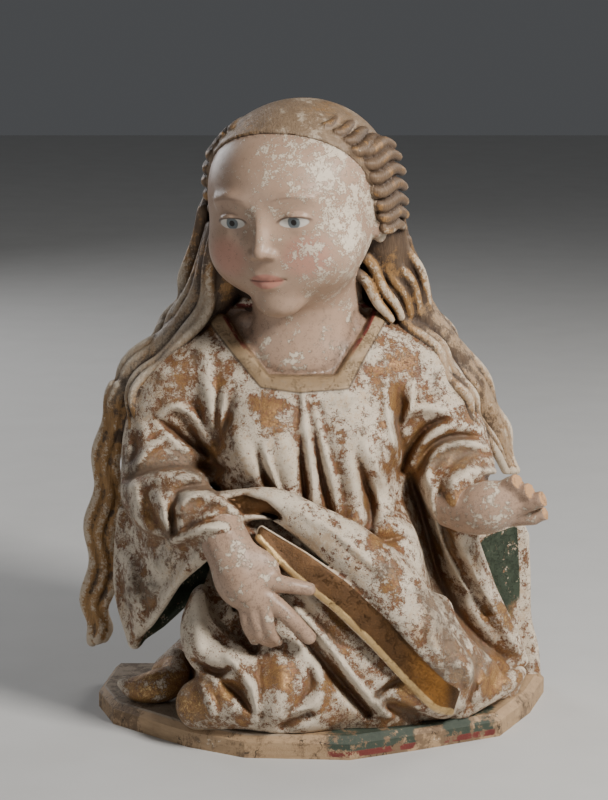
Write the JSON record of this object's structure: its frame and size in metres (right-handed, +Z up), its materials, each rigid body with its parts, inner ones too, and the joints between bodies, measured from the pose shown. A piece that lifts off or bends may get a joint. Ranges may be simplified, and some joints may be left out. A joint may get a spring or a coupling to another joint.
{
  "type": "carved half-length figure",
  "caption": "Carved wooden half-length figure of a young woman in a wide-sleeved robe and mantle, on a low base, with worn paint and gilding.",
  "frame": {"origin": "on the flat underside of the base, under the neck and near the middle of the base in depth", "axes": "+Z up, the figure faces -Y, +X to the right as one looks at its front"},
  "size_m": [0.3624, 0.1929, 0.4705],
  "materials": {
    "polychromed_wood": "carved limewood under worn gesso, paint and gilding"
  },
  "bodies": {
    "root": {"carved_bust": "polychromed_wood"}
  },
  "joints": []
}
